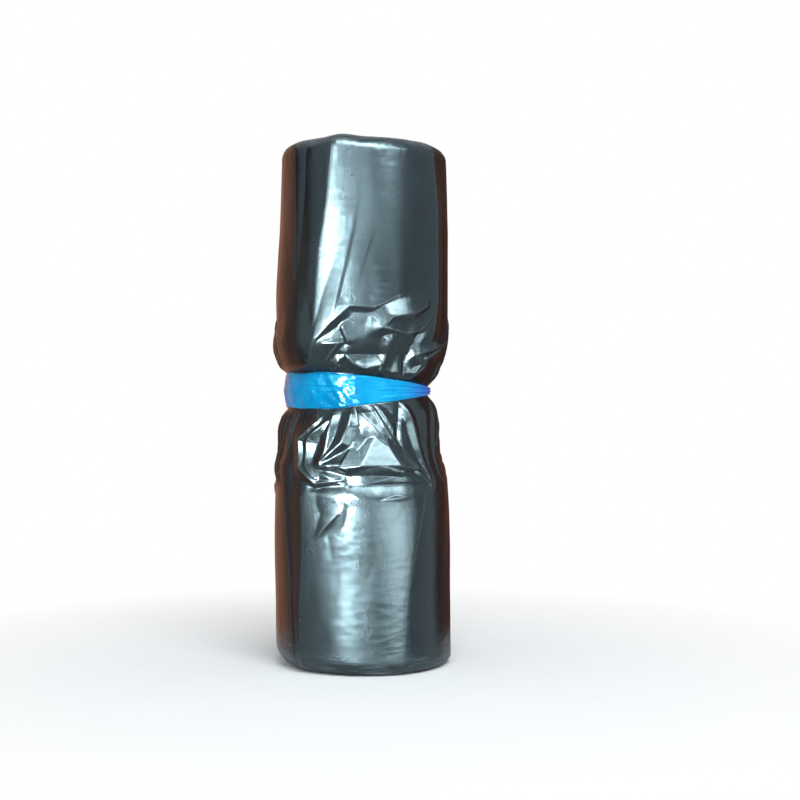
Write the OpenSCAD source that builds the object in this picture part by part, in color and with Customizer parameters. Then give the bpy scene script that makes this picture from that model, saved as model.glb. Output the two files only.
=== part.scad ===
// Roll of thin plastic carrier bags, drawn in at the waist by a tied strip of film.
// It stands on its lower end: the origin is the middle of that end and +Z runs up the roll.
// The front is towards -Y. Angles go round the roll from the front, positive towards +X.

/* [Roll] */
// Length of the roll, which is the flat width of one bag
roll_len = 302; // [272:5:332]
// Radius at the upper end
top_r = 47.6; // [46:0.1:50]
// Radius of the upper barrel, just above the waist
upper_r = 49.8; // [48:0.1:52]
// Radius of the lower barrel
lower_r = 50.7; // [49:0.1:53]
// Radius by which the film edges curl in at the upper end
rim_r = 7.6; // [4:0.1:10]
// How much lower the upper end is at its right side
top_slant = 1.2; // [0:0.1:3]
// Radius by which the film edges curl in at the lower end, at the right
foot_rim_r = 5.5; // [4:0.1:8]
// How much larger that radius is at the left, where the corner is crushed
foot_crush = 6; // [0:0.5:8]
// How far the back is pressed flat where the roll has lain
lying_flat = 1.2; // [0.5:0.1:2]

/* [Waist] */
// Height of the middle of the tie
waist_z = 159; // [145:1:170]
// Mean radius of the roll under the tie
waist_r = 41.7; // [40:0.1:44]
// How far the knot draws the waist off centre
waist_shift = 4.3; // [0:0.1:5]
// Distance from the tie up to the full upper barrel
upper_neck = 29; // [24:1:34]
// Distance from the tie down to the full lower barrel
lower_neck = 48; // [40:1:54]

/* [Turns] */
// Thickness of one turn of stacked film, as seen at the ends
turn_pitch = 7.5; // [6:0.5:10]
// Depth of the groove between two turns
turn_depth = 2; // [1:0.1:3]
// Radius of the first, innermost turn
eye_r = 5; // [4:0.5:7]
// Depth of the hollow in the middle of the upper end
eye_depth = 6; // [3:0.5:12]
// Step where the free edge of the outermost film lies on the roll
lap_lift = 0.8; // [0.4:0.1:1.5]

/* [Folds] */
// Share of the measured height that every fold and pleat has
fold_scale = 1; // [0.5:0.05:1.2]

/* [Tie] */
// Width of the strip of film where it lies flat
band_w = 20.5; // [16:0.5:24]
// Width of the strip where it is gathered up near the knot
gather_w = 4.6; // [4:0.2:7]
// Thickness of the flat strip
band_t = 0.5; // [0.4:0.1:0.8]
// Thickness of the gathered strip
gather_t = 1.8; // [1.2:0.1:3]
// Angle of the knot round the roll, from the front
knot_angle = 128; // [122:1:134]
// Radius of the knot
knot_r = 4; // [3.5:0.1:5]
// Length of each loose end of the strip
tail_len = 30; // [20:1:36]
// Width of each loose end at its tip
tail_w = 11; // [8:0.5:14]

/* [Hidden] */
// Gap between the strip and the film below it
seat_gap = 0.2;
// Gap between each edge of the strip and the shoulder beside it
edge_gap = 0.3;
// Angle of the free edge of the outermost film
lap_angle = -140;
// Angle over which that film lifts towards its free edge
lap_span = 40;
// Angles from the knot between which the strip opens out from gathered to flat
gather_end = 50;
flat_start = 150;
// Height over which a fold dies out at the strip's edge
pinch = 4;
// Length of arc per degree on the mean radius of the folds
arc = 49 * PI / 180;
eps = 0.001;

function clamp01(x) = min(1, max(0, x));
function mix(a, b, t) = a + (b - a) * t;
function turned(a) = (a > 180) ? a - 360 : a;

// Ridges on the front, as they run: [fall to the left, fall to the right, points].
// A point is [angle, height above the waist, lift], and a fall is the slope of that flank.
front_ridges = [
    // Long crease down the upper barrel and the shoulder that it ends in
    [0.16, 0.13, [[-18, 142, 2.0], [-22, 106, 2.4], [-27, 78, 2.8], [-29, 28, 3.0], [-33, 17, 2.8]]],
    [0.20, 0.50, [[-33, 17, 2.8], [-28, 27, 3.2], [-17, 38, 3.2], [-6, 49, 2.2]]],
    [0.45, 0.40, [[-33, 17, 2.8], [-28, 13, 2.0], [-20, 9, 1.2]]],
    // Small folds tucked under that shoulder
    [0.30, 0.40, [[-28, 26, 2.2], [-12, 26, 1.8], [-21, 17, 1.4]]],
    [0.30, 0.40, [[-10, 35, 1.6], [-6, 27, 1.4]]],
    [0.30, 0.45, [[-14, 15, 2.0], [-8, 20, 2.6], [-2, 15, 2.2]]],
    [0.40, 0.40, [[-16, 8, 1.2], [-14, 15, 2.0], [-10, 8, 1.2]]],
    [0.30, 0.50, [[-2, 15, 2.2], [17, 15, 2.2], [18, 7, 1.2]]],
    [0.25, 0.35, [[23, 28, 2.0], [19, 16, 1.6]]],
    // Shoulder at the right
    [0.25, 0.45, [[17, 35, 2.2], [22, 41, 2.4], [37, 43, 2.8], [49, 48, 2.2]]],
    [0.25, 0.40, [[17, 35, 2.2], [34, 32, 1.4], [46, 34, 1.8], [55, 45, 2.0]]],
    [0.20, 0.14, [[55, 138, 1.2], [60, 105, 1.6], [60, 50, 2.0], [56, 34, 2.2]]],
    [0.40, 0.45, [[80, 29, 2.6], [44, 20, 2.6], [51, 15, 2.0], [44, 6, 1.2]]],
    [0.40, 0.45, [[80, 29, 2.6], [54, 18, 2.4], [54, 13, 2.0], [44, 6, 1.2]]],
    // Folds at the left edge of the view
    [0.25, 0.35, [[-72, 28, 1.6], [-52, 30, 2.0], [-43, 27, 1.4], [-50, 22, 1.2], [-43, 10, 0.8]]],
    // Double pleat at the lower left
    [0.50, 0.35, [[-32, -10, 1.4], [-28, -17, 2.0], [-43, -28, 2.8], [-40, -43, 3.0], [-28, -52, 2.6], [-10, -50, 1.8]]],
    [0.40, 0.40, [[-20, -17, 1.8], [-34, -26, 2.4], [-36, -29, 2.4], [-35, -42, 2.6], [-28, -49, 2.4]]],
    // Hooked pleat below the strip
    [0.45, 0.45, [[-3, -8, 1.4], [-5, -20, 2.6], [-9, -29, 3.2], [-24, -40, 3.0]]],
    [0.40, 0.35, [[-24, -40, 3.0], [-20, -32, 2.4], [-17, -12, 1.4]]],
    // Broad facet and the ridge that it ends at
    [0.22, 0.30, [[0, -9, 1.0], [10, -25, 2.0], [28, -42, 3.0]]],
    [0.22, 0.40, [[-24, -42, 2.2], [0, -41, 3.0], [28, -43, 3.2]]],
    [0.45, 0.45, [[10, -7, 1.0], [22, -23, 2.2], [28, -30, 2.0]]],
    [0.45, 0.45, [[14, -6, 1.0], [26, -22, 2.2], [28, -30, 2.0]]],
    // Pleats at the lower right
    [0.40, 0.40, [[37, -5, 0.8], [43, -17, 1.8], [49, -34, 2.6], [53, -55, 2.8]]],
    [0.40, 0.40, [[33, -19, 1.6], [34, -37, 2.2], [42, -45, 2.4], [53, -54, 2.8]]],
    [0.30, 0.30, [[76, -8, 0.8], [82, -20, 2.4], [80, -32, 1.6]]],
    // Second shoulder, where the lower barrel starts
    [0.25, 0.18, [[-38, -60, 2.4], [-19, -62, 2.0], [-13, -61, 1.8], [-6, -55, 2.6]]],
    [0.30, 0.16, [[-6, -55, 2.6], [-1, -63, 2.0], [9, -62, 2.4], [46, -58, 2.8]]],
    [0.35, 0.35, [[-13, -61, 1.8], [-11, -65, 2.0], [-24, -78, 1.8], [-30, -86, 1.6], [-39, -94, 2.0]]],
    // Long soft corners of the lower barrel
    [0.12, 0.16, [[-38, -60, 2.4], [-37, -73, 2.4], [-38, -94, 2.2], [-42, -129, 1.6], [-42, -154, 1.2]]],
    [0.12, 0.16, [[46, -58, 2.8], [38, -84, 2.4], [30, -117, 1.8], [26, -154, 1.2]]]
];

// Valleys on the front, in the same form; here a lift is a depth.
front_valleys = [
    [0.30, 0.30, [[-5, 42, 1.4], [12, 39, 1.8], [22, 33, 1.0]]],
    [0.45, 0.45, [[44, 32, 1.4], [38, 17, 2.0], [37, 8, 1.4]]],
    [0.45, 0.45, [[35, -6, 1.2], [31, -21, 2.0], [28, -40, 2.2]]],
    [0.25, 0.25, [[-30, -54, 0.8], [-4, -53, 1.4], [26, -53, 1.8], [50, -53, 1.2]]],
    [0.30, 0.30, [[-5, -62, 1.4], [-8, -72, 1.2], [-20, -86, 0.6]]],
    [0.08, 0.08, [[2, 138, 1.0], [2, 60, 1.4]]],
    [0.06, 0.06, [[4, -70, 1.2], [-4, -150, 0.8]]]
];

// Pleats round the sides and back, which the tie draws in from each shoulder.
pleat_from = 66;
pleat_to = 312;
pleat_count = 17;
function wander(i, size) = size * sin(i * 137.5 + 40);
function round_angle(i) = mix(pleat_from, pleat_to, (i + 0.5) / pleat_count) + wander(i, 3);
function pleat_angle(i) = round_angle(i) - ((round_angle(i) > lap_angle + 360) ? 360 : 0);
back_ridges = [
    for (i = [0 : pleat_count - 1])
    let (a = pleat_angle(i), turn = wander(i + 3, 9), rise = wander(i + 7, 5))
    each [
        [0.45, 0.40, [[a, 4, 1.2], [a + turn / 2, 16, 2.8], [a + turn, 27 + rise, 2.8]]],
        [0.25, 0.45, [[a + turn, 27 + rise, 2.8], [a + turn + 9, 35 + rise, 2.2], [a + turn + 15, 32 + rise, 1.4]]],
        [0.45, 0.40, [[a, -4, 1.2], [a - turn / 2, -22, 2.8], [a - turn, -42 + rise, 3.0]]],
        [0.45, 0.25, [[a - turn, -42 + rise, 3.0], [a - turn + 8, -53 + rise, 2.4], [a - turn + 16, -50 + rise, 1.4]]]
    ]
];
// Long creases that run on to the ends from some of those pleats.
long_ridges = [
    for (i = [1 : 3 : pleat_count - 1])
    let (a = pleat_angle(i), turn = wander(i + 3, 9))
    each [
        [0.10, 0.10, [[a + turn, 30, 1.6], [a + turn / 2, 85, 1.2], [a, 140, 0.8]]],
        [0.10, 0.10, [[a - turn, -45, 1.6], [a, -95, 1.2], [a + turn / 2, -154, 0.8]]]
    ]
];
ridges = concat(front_ridges, back_ridges, long_ridges);

// Height of one flank of a fold over the point p, which is [arc length, height].
function flank(from, to, fall_left, fall_right, p) =
    let (
        start = [from[0] * arc, from[1]],
        run = [to[0] * arc, to[1]] - start,
        t = clamp01((p - start) * run / (run * run)),
        away = norm(p - start - run * t),
        fall = (cross(run, p - start) > 0) ? fall_left : fall_right
    )
    mix(from[2], to[2], t) - fall * away;
function fold_height(fold, p) =
    max([for (i = [0 : len(fold[2]) - 2]) flank(fold[2][i], fold[2][i + 1], fold[0], fold[1], p)]);
function folds_height(folds, p) = max(0, max([for (f = folds) fold_height(f, p)]));

// Half the width of the strip at an angle, and the edges of the seat that it lies in.
function from_knot(a) = let (d = abs(turned(a) - knot_angle)) min(d, 360 - d);
function open_share(a) = clamp01((from_knot(a) - gather_end) / (flat_start - gather_end));
function half_w(a) = mix(gather_w, band_w, open_share(a)) / 2;
function strip_t(a) = mix(gather_t, band_t, open_share(a));
function seat_top(a) = waist_z + half_w(a) + edge_gap;
function seat_bottom(a) = waist_z - half_w(a) - edge_gap;

// Profile of each neck: [share of the way from the strip to the barrel, share of the rise].
upper_rise = [[0, 0], [0.12, 0.26], [0.35, 0.52], [0.6, 0.78], [0.8, 0.94], [1, 1]];
lower_rise = [
    [0, 0], [0.1, 0.16], [0.2, 0.33], [0.35, 0.44], [0.7, 0.5], [0.83, 0.66], [0.93, 0.86], [1.05, 0.95],
    [1.5, 0.96], [1.9, 1]
];
// How much of the waist's shift there is at a height above the waist.
shift_share = [
    [-150, 0], [-68, 0.3], [-51, 0.4], [-42, 0.8], [-23, 0.8], [-11, 0.65], [0, 1],
    [10, 0.7], [24, 0.62], [42, 0.32], [92, 0]
];

// Radius of the barrels and necks before any fold is added.
function upper_line(z) = mix(upper_r, top_r, clamp01((z - waist_z - upper_neck) / (roll_len - waist_z - upper_neck)));
function barrel(a, z) =
    (z > waist_z)
    ? mix(waist_r, upper_line(z), lookup((z - seat_top(a)) / (waist_z + upper_neck - seat_top(a)), upper_rise))
    : mix(waist_r, lower_r, lookup((seat_bottom(a) - z) / (seat_bottom(a) - waist_z + lower_neck), lower_rise));

function pinched(a, z) = clamp01((abs(z - waist_z) - half_w(a) - edge_gap) / pinch);
function relief(a, z) =
    let (p = [a * arc, z - waist_z])
    fold_scale * pinched(a, z) * (folds_height(ridges, p) - folds_height(front_valleys, p));
function lap(a) = lap_lift * clamp01(1 - (lap_angle + 360 - a) / lap_span);
function roll_top(a) = roll_len - top_slant * (1 + sin(a)) / 2;
function foot_round(a) = foot_rim_r + foot_crush * (1 - sin(a)) / 2;
function curl(r, inside) = r - sqrt(max(0, r * r - max(0, inside) * max(0, inside)));
function rim_drop(a, z) = curl(foot_round(a), foot_round(a) - z) + curl(rim_r, z - roll_top(a) + rim_r);
function lying_limit(a) =
    (abs(a - 180) < 60) ? (lower_r - lying_flat) / cos(a - 180) : 2 * lower_r;
function wall_r(a, z) = min(barrel(a, z) + relief(a, z), lying_limit(a)) + lap(a) - rim_drop(a, z);
function shift_x(z) = -waist_shift * lookup(z - waist_z, shift_share);
function on_roll(a, r, z) = [shift_x(z) + r * sin(a), -r * cos(a), z];

// Angles of the columns of the wall: closer together across the front.
column_angles = concat(
    [for (a = [lap_angle : 6 : -74]) a],
    [for (a = [-70 : 4 : 70]) a],
    [for (a = [76 : 6 : lap_angle + 360 - eps]) a],
    [lap_angle + 360]
);
columns = len(column_angles) - 1;

// Heights of the rings of the wall at an angle, from the lower end to the upper end.
lower_fixed = waist_z - lower_neck - 26;
upper_fixed = waist_z + upper_neck + 26;
rim_steps = [0, 0.18, 0.5, 1];
lower_steps = 4;
lower_fine = 17;
seat_steps = 2;
upper_fine = 13;
upper_steps = 4;
function ring_heights(a) = concat(
    [for (s = rim_steps) s * foot_round(a)],
    [for (i = [1 : lower_steps]) mix(foot_round(a), lower_fixed, i / lower_steps)],
    [for (i = [1 : lower_fine]) mix(lower_fixed, seat_bottom(a), i / lower_fine)],
    [for (i = [1 : seat_steps - 1]) mix(seat_bottom(a), seat_top(a), i / seat_steps)],
    [for (i = [0 : upper_fine]) mix(seat_top(a), upper_fixed, i / upper_fine)],
    [for (i = [1 : upper_steps]) mix(upper_fixed, roll_top(a) - rim_r, i / upper_steps)],
    [for (i = [1 : len(rim_steps) - 1]) roll_top(a) - rim_r * rim_steps[len(rim_steps) - 1 - i]]
);
rings = len(ring_heights(0));

// Points of the wall, ring by ring from the lower end, and the faces between them.
ring_table = [for (a = column_angles) ring_heights(a)];
function wall_point(ring, column) =
    let (a = column_angles[column], z = ring_table[column][ring])
    on_roll(a, wall_r(a, z) - ((column == 0) ? lap(a) : 0), z);
wall_points = [for (ring = [0 : rings - 1], column = [0 : columns]) wall_point(ring, column)];
function wall_index(ring, column) = ring * (columns + 1) + column;
function next_column(column) = (column == columns) ? 0 : column + 1;
wall_faces = [
    for (ring = [0 : rings - 2], column = [0 : columns])
    let (
        low = wall_index(ring, column),
        low_next = wall_index(ring, next_column(column)),
        high = wall_index(ring + 1, column),
        high_next = wall_index(ring + 1, next_column(column))
    )
    each [[low, high, high_next], [low, high_next, low_next]]
];

// The turns at an end run inwards along one spiral that starts at the free edge of the film.
// Its first turn is the outer rim, and each later point sits a share of a turn further in.
function inner_count(rim) = floor((rim - eye_r) / turn_pitch * columns);
function spiral_point(step, rim, upper) =
    let (
        a = column_angles[columns - step % columns],
        turns_in = step / columns - 1,
        z = upper ? roll_top(a) : 0,
        r = (wall_r(a, z) - lap(a)) * (1 - turns_in * turn_pitch / rim),
        droop = upper ? clamp01(turns_in) * (1 + sin(turns_in * 250)) / 2 : 0
    )
    on_roll(a, r, z) - [0, 0, droop];
function end_points(rim, upper) =
    let (
        count = inner_count(rim),
        base = upper ? wall_index(rings - 1, 0) : 0,
        inner = [for (step = [columns + 1 : columns + count]) spiral_point(step, rim, upper)],
        path = concat([for (step = [0 : columns]) wall_points[base + columns - step]], inner),
        grooves = [
            for (step = [0 : count])
            let (width = norm(path[step] - path[step + columns]), depth = turn_depth * clamp01(width / turn_pitch))
            (path[step] + path[step + columns]) / 2 + [0, 0, upper ? -depth : depth]
        ]
    )
    concat(inner, grooves, [[0, 0, upper ? roll_len - eye_depth : 0]]);
function end_faces(rim, first, base, upper) =
    let (
        count = inner_count(rim),
        groove = first + count,
        middle = groove + count + 1,
        path = function(step) (step <= columns) ? base + columns - step : first + step - columns - 1,
        faces = concat(
            [for (step = [0 : count - 1]) each [
                [path(step), path(step + 1), groove + step + 1],
                [path(step), groove + step + 1, groove + step],
                [groove + step, groove + step + 1, path(step + columns + 1)],
                [groove + step, path(step + columns + 1), path(step + columns)]
            ]],
            [[path(0), groove, path(columns)]],
            [for (step = [count : count + columns - 1]) [path(step), path(step + 1), middle]],
            [[path(count + columns), groove + count, middle]],
            [[groove + count, path(count), middle]]
        )
    )
    [for (face = faces) upper ? face : [face[0], face[2], face[1]]];

top_rim = top_r - rim_r;
foot_rim = lower_r - foot_rim_r - foot_crush / 2;
top_points = end_points(top_rim, true);
foot_points = end_points(foot_rim, false);

module bag_roll() {
    first_top = len(wall_points);
    first_foot = first_top + len(top_points);
    color([0.09, 0.11, 0.12])
    polyhedron(
        points = concat(wall_points, top_points, foot_points),
        faces = concat(
            wall_faces,
            end_faces(top_rim, first_top, wall_index(rings - 1, 0), true),
            end_faces(foot_rim, first_foot, 0, false)
        ),
        convexity = 10
    );
}

// The strip goes once round the seat, on the same columns as the wall.
across = [-1, 0, 1];
function seat_r(a) = waist_r + lap(a) + seat_gap;
function strip_point(a, v, outside) =
    let (
        bulge = 1 - 0.5 * (1 - open_share(a)) * v * v,
        z = waist_z + half_w(a) * v
    )
    on_roll(a, seat_r(a) + (outside ? strip_t(a) * bulge : 0), z);
module strip() {
    section = concat([for (v = across) [v, false]], [for (i = [len(across) - 1 : -1 : 0]) [across[i], true]]);
    around = len(section);
    points = [for (i = [1 : columns], s = section) strip_point(column_angles[i], s[0], s[1])];
    faces = [
        for (i = [0 : columns - 1], k = [0 : around - 1])
        let (
            here = i * around,
            there = ((i + 1) % columns) * around,
            after = (k + 1) % around
        )
        each [[here + k, there + k, there + after], [here + k, there + after, here + after]]
    ];
    polyhedron(points = points, faces = faces, convexity = 4);
}

module knot() {
    lump = 0.8 * knot_r;
    wrap_ring = 0.62 * knot_r;
    wrap_tube = 0.38 * knot_r;
    centre = on_roll(knot_angle, seat_r(knot_angle) + knot_r, waist_z);
    translate(centre)
    rotate([0, 0, knot_angle]) {
        hull() {
            translate([-0.5 * knot_r, 0, 0]) sphere(lump, $fn = 12);
            translate([0.5 * knot_r, 0, 0]) sphere(lump, $fn = 12);
        }
        rotate([0, 90, 0])
        rotate_extrude($fn = 16)
        translate([wrap_ring, 0]) circle(wrap_tube, $fn = 10);
    }
}

// A loose end leaves the knot and lies over the shoulder, widening towards its tip.
// side is 1 for the end that points up and -1 for the one that points down.
tail_stations = 9;
tail_clear = 1.3;
module tail(side) {
    reach = tail_len * 0.72;
    start_width = 3.4;
    function station_width(t) = mix(start_width, tail_w, t);
    function station_middle(t) = [knot_angle * arc + mix(2, reach, t), side * mix(1.2, reach, t)];
    function tail_point(t, v, outside) =
        let (
            middle = station_middle(t),
            aside = [-side, 1] * v * station_width(t) / 2 / sqrt(2),
            a = (middle + aside)[0] / arc,
            z = waist_z + (middle + aside)[1],
            lying = wall_r(a, z) + tail_clear + t * t,
            knotted = seat_r(a) + knot_r - 0.4,
            r = mix(max(knotted, lying), lying, clamp01(t * 2.5))
        )
        on_roll(a, r + (outside ? band_t : 0), z);
    section = [[-1, false], [0, false], [1, false], [1, true], [0, true], [-1, true]];
    around = len(section);
    points = [for (i = [0 : tail_stations], s = section) tail_point(i / tail_stations, s[0], s[1])];
    last = tail_stations * around;
    sides = [
        for (i = [0 : tail_stations - 1], k = [0 : around - 1])
        let (here = i * around, there = here + around, after = (k + 1) % around)
        each [[here + k, there + k, there + after], [here + k, there + after, here + after]]
    ];
    caps = [
        for (k = [1 : around - 2])
        each [[0, k, k + 1], [last, last + k + 1, last + k]]
    ];
    polyhedron(points = points, faces = concat(sides, caps), convexity = 4);
}

module tie_band() {
    color([0.05, 0.5, 0.9])
    union() {
        strip();
        knot();
        tail(1);
        tail(-1);
    }
}

bag_roll();
tie_band();
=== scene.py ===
"""A roll of thin black carrier bags, drawn in at the waist by a knotted strip of blue film.

Shapes are worked out in millimetres, with the same sizes as the part's own source, and put down in metres.
Angles go round the roll from the front, which faces -Y, and are positive towards +X.
"""

import math

import bpy
import numpy as np
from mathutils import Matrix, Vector


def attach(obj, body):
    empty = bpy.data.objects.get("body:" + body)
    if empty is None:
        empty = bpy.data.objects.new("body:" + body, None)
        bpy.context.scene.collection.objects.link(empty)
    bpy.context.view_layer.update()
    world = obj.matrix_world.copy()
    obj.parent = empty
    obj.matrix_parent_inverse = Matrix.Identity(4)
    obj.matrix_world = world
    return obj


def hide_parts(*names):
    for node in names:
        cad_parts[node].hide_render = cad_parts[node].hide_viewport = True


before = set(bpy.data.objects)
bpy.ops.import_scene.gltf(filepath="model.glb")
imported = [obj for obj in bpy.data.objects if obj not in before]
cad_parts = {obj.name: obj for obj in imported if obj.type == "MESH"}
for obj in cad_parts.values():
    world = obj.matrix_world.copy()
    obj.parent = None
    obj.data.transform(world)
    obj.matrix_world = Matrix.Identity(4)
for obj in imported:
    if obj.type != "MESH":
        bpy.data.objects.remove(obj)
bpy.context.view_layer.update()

MM = 0.001

# Sizes of the roll, in millimetres and degrees.
ROLL_LENGTH = 302.0
TOP_RADIUS = 47.6
UPPER_RADIUS = 49.8
LOWER_RADIUS = 50.7
TOP_CURL = 7.6
TOP_SLANT = 1.2
PEAK_LIFT = 1.3
PEAK_ANGLE = -14.0
PEAK_SPREAD = 11.0
FOOT_CURL = 5.5
FOOT_CRUSH = 6.0
LYING_FLAT = 1.2
WAIST_HEIGHT = 159.0
WAIST_RADIUS = 41.7
WAIST_SHIFT = 4.3
UPPER_NECK = 29.0
LOWER_NECK = 48.0
PINCH = 4.0

# Millimetres round the film for each degree.
ARC = 49.0 * math.pi / 180.0

# Where the film is drawn in: beside the strip on the left, and on the front above the strip.
LEFT_TUCK = 1.5
TUCK_ANGLE = -86.0
TUCK_HEIGHT = 34.0
TUCK_SPREAD = (24.0, 16.0)
FRONT_HOLLOW = 3.6
HOLLOW_UP = [[10, 0], [20, 1], [26, 0.78], [42, 0.08], [47, 0]]
HOLLOW_ROUND = [[-22, 0], [-8, 1], [36, 1], [56, 0]]

# The turns at the ends, and the free edge of the film.
TURN_PITCH = 7.5
TURN_DEPTH = 2.0
LAYER_DEPTH = 0.45
UNEVEN_DEPTH = 0.9
EYE_RADIUS = 5.0
EYE_DEPTH = 6.0
LAP_LIFT = 0.8
LAP_ANGLE = -140.0
LAP_END = LAP_ANGLE + 360
LAP_SPAN = 40.0
FILM_UNDER = 7.0
UNDER_SINK = 0.25
EDGE_TURN = 0.25
EDGE_LIFT = 0.05
EDGE_WAVES = 0.5
EDGE_SPAN = 10.0
RIM_CALM = 12.0
ROUND_STEPS = 14
LAYERS = 5

# Sizes of the strip, its knot and its loose ends.
STRIP_WIDTH = 20.5
STRIP_GATHERED = 4.6
STRIP_THICKNESS = 0.5
GATHER_THICKNESS = 1.8
GATHER_END = 50.0
FLAT_START = 150.0
SEAT_GAP = 0.2
EDGE_GAP = 0.3
KNOT_ANGLE = 128.0
KNOT_RADIUS = 4.0
TAIL_LENGTH = 30.0
TAIL_WIDTH = 11.0
TAIL_ROOT = 3.0
TAIL_FILM = 0.15

# Profiles above and below the strip: (share of the neck's length, share of the rise to the barrel),
# and how much of the waist's shift is left at a height above the waist.
UPPER_RISE = [[0, 0], [0.12, 0.26], [0.35, 0.52], [0.6, 0.78], [0.8, 0.94], [1, 1]]
LOWER_RISE = [[0, 0], [0.1, 0.16], [0.2, 0.33], [0.35, 0.44], [0.7, 0.5], [0.83, 0.66], [0.93, 0.82],
              [1.05, 0.87], [1.5, 0.96], [1.9, 1]]
SHIFT_SHARE = [[-150, 0], [-68, 0.3], [-51, 0.4], [-42, 0.8], [-23, 0.8], [-11, 0.65], [0, 1], [10, 0.7],
               [24, 0.62], [42, 0.32], [92, 0]]

# Ridges of the film on the front: fall to the left, fall to the right,
# and points along the crest as (angle, height above the waist, lift).
FRONT_RIDGES = [
    (0.16, 0.13, [(-18, 142, 2.0), (-22, 106, 2.4), (-27, 78, 2.8), (-29, 28, 3.0), (-33, 17, 2.8)]),
    (0.05, 0.50, [(-33, 17, 2.8), (-28, 27, 3.2), (-17, 38, 3.0), (-6, 47, 1.8), (10, 46, 1.2)]),
    (0.45, 0.40, [(-33, 17, 2.8), (-28, 13, 2.0), (-20, 9, 1.2)]),
    (0.30, 0.40, [(-28, 26, 2.2), (-12, 26, 1.8), (-21, 17, 1.4)]),
    (0.30, 0.40, [(-10, 35, 1.6), (-6, 27, 1.4)]),
    (0.30, 0.45, [(-14, 15, 2.0), (-8, 20, 2.6), (-2, 15, 2.2)]),
    (0.40, 0.40, [(-16, 8, 1.2), (-14, 15, 2.0), (-10, 8, 1.2)]),
    (0.30, 0.50, [(-2, 15, 2.2), (6, 12, 1.5), (17, 14, 1.9), (18, 7, 1.2)]),
    (0.25, 0.35, [(23, 28, 2.0), (19, 16, 1.6)]),
    (0.25, 0.45, [(17, 35, 2.2), (22, 41, 2.4), (37, 43, 2.8), (49, 48, 2.2)]),
    (0.25, 0.40, [(17, 35, 2.2), (34, 32, 1.4), (46, 34, 1.8), (55, 45, 2.0)]),
    (0.20, 0.14, [(55, 138, 1.2), (60, 105, 1.6), (60, 50, 2.0), (56, 34, 2.2)]),
    (0.40, 0.45, [(80, 29, 2.6), (44, 20, 2.6), (51, 15, 2.0), (44, 6, 1.2)]),
    (0.40, 0.45, [(80, 29, 2.6), (54, 18, 2.4), (54, 13, 2.0), (44, 6, 1.2)]),
    (0.25, 0.35, [(-72, 28, 1.6), (-52, 30, 2.0), (-43, 27, 1.4), (-50, 22, 1.2), (-43, 10, 0.8)]),
    (0.50, 0.35, [(-32, -10, 1.4), (-28, -17, 2.0), (-43, -28, 2.8), (-40, -43, 3.0), (-28, -52, 2.6),
                  (-10, -50, 1.8)]),
    (0.40, 0.40, [(-20, -17, 1.8), (-34, -26, 2.4), (-36, -29, 2.4), (-35, -42, 2.6), (-28, -49, 2.4)]),
    (0.45, 0.45, [(-3, -8, 1.4), (-5, -20, 2.6), (-9, -29, 3.2), (-24, -40, 3.0)]),
    (0.40, 0.35, [(-24, -40, 3.0), (-20, -32, 2.4), (-17, -12, 1.4)]),
    (0.22, 0.30, [(0, -9, 1.0), (10, -18, 2.0), (19, -26, 2.4), (31, -43, 3.0)]),
    (0.22, 0.40, [(-24, -42, 2.2), (0, -41, 3.0), (28, -43, 3.2)]),
    (0.45, 0.45, [(10, -7, 1.0), (22, -23, 2.2), (28, -30, 2.0)]),
    (0.45, 0.45, [(14, -6, 1.0), (26, -22, 2.2), (28, -30, 2.0)]),
    (0.40, 0.40, [(37, -5, 0.8), (43, -17, 1.8), (49, -34, 2.6), (53, -55, 2.8)]),
    (0.40, 0.40, [(33, -19, 1.6), (34, -37, 2.2), (42, -45, 2.4), (53, -54, 2.8)]),
    (0.30, 0.30, [(76, -8, 0.8), (82, -20, 2.4), (80, -32, 1.6)]),
    (0.25, 0.04, [(-38, -60, 1.4), (-19, -62, 1.2), (-13, -61, 1.2), (-6, -55, 2.0)]),
    (0.30, 0.04, [(-6, -55, 2.0), (-1, -63, 1.4), (9, -62, 1.5), (46, -58, 1.8)]),
    (0.35, 0.12, [(-13, -61, 1.8), (-10, -66, 2.2), (-22, -76, 1.8), (-32, -88, 1.4), (-39, -94, 1.2)]),
    (0.12, 0.16, [(-38, -60, 2.4), (-37, -73, 2.4), (-38, -94, 2.2), (-42, -129, 1.6), (-42, -154, 1.2)]),
    (0.06, 0.08, [(46, -58, 2.6), (38, -84, 2.2), (30, -117, 1.6), (26, -154, 1.0)]),
]
FRONT_VALLEYS = [
    (0.45, 0.45, [(44, 32, 1.4), (38, 17, 2.0), (37, 8, 1.4)]),
    (0.45, 0.45, [(35, -6, 1.2), (31, -21, 2.0), (28, -40, 2.2)]),
    (0.25, 0.25, [(-30, -54, 0.8), (-4, -53, 1.4), (26, -53, 1.8), (50, -53, 1.2)]),
    (0.04, 0.04, [(2, 138, 0.3), (2, 60, 0.5)]),
]

# How far a flank runs on and how hollow it is, the fall of a steep one and how round its crest is there,
# how wide the painted highlight along a crest is, and the least distance at which the two sides are told
# apart.
FLANK_REACH = 1.25
FLANK_HOLLOW = 1.6
STEEP_FALL = 0.4
CREST_ROUND = 0.25
CREST_WIDTH = 0.7
CREST_NEAR = 0.05

# Flat facets: (angle, height above the waist, radius there), (way it faces, tilt upwards),
# (half width, half height). A facet is wider at its foot and falls away past its borders.
FRONT_FACETS = [
    ((16.5, -34, 49.2), (15, 14.5), (6.5, 8)),
]
FACET_TURN = 30.0
FACET_FLARE = 0.65
FACET_ENDS = 2.5
FACET_FALL = 0.4
FACET_REACH = 12.0

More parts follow.
